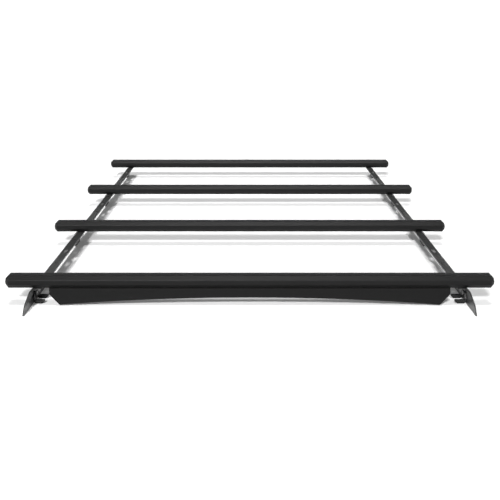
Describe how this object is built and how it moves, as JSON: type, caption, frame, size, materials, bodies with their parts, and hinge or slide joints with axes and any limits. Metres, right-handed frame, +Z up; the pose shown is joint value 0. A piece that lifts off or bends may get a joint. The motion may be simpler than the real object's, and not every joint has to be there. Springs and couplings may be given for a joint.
{
  "type": "van roof rack",
  "caption": "Van roof rack: octagonal crossbars on folded side rails with pointed noses, bracket feet on rubber pads, and an arched wind deflector under the front bar.",
  "frame": {"origin": "middle of the footprint, on the roof plane that the pads rest on", "axes": "+X to the van's right-hand side as seen from behind, -Y to its front, +Z up"},
  "size_m": [1.494, 2.612, 0.0928],
  "materials": {
    "bar_coat": "satin black powder coat",
    "cap_plastic": "moulded, fine grain",
    "strip_rubber": "matte, ribbed",
    "rail_coat": "satin black powder coat",
    "pad_rubber": "matte",
    "fastener_zinc": "dark zinc flake",
    "bracket_coat": "satin black powder coat",
    "deflector_coat": "satin black powder coat"
  },
  "bodies": {
    "root": {"crossbar_1": "bar_coat", "crossbar_2": "bar_coat", "crossbar_3": "bar_coat", "crossbar_4": "bar_coat", "end_caps_1": "cap_plastic", "end_caps_2": "cap_plastic", "end_caps_3": "cap_plastic", "end_caps_4": "cap_plastic", "slot_strip_1": "strip_rubber", "slot_strip_2": "strip_rubber", "slot_strip_3": "strip_rubber", "slot_strip_4": "strip_rubber", "side_rail_left": "rail_coat", "side_rail_right": "rail_coat", "bar_gaskets_left": "pad_rubber", "bar_gaskets_right": "pad_rubber", "clamp_bolts_1": "fastener_zinc", "clamp_bolts_2": "fastener_zinc", "clamp_bolts_3": "fastener_zinc", "clamp_bolts_4": "fastener_zinc", "clamp_nuts_left": "fastener_zinc", "clamp_nuts_right": "fastener_zinc", "foot_bracket_1_left": "bracket_coat", "foot_bracket_1_right": "bracket_coat", "foot_bracket_2_left": "bracket_coat", "foot_bracket_2_right": "bracket_coat", "foot_bracket_3_left": "bracket_coat", "foot_bracket_3_right": "bracket_coat", "foot_bracket_4_left": "bracket_coat", "foot_bracket_4_right": "bracket_coat", "foot_pads_1": "pad_rubber", "foot_pads_2": "pad_rubber", "foot_pads_3": "pad_rubber", "foot_pads_4": "pad_rubber", "foot_bolts_left": "fastener_zinc", "foot_bolts_right": "fastener_zinc", "foot_nuts_left": "fastener_zinc", "foot_nuts_right": "fastener_zinc", "wind_deflector": "deflector_coat", "deflector_bolts": "fastener_zinc", "deflector_nuts": "fastener_zinc"}
  },
  "joints": []
}
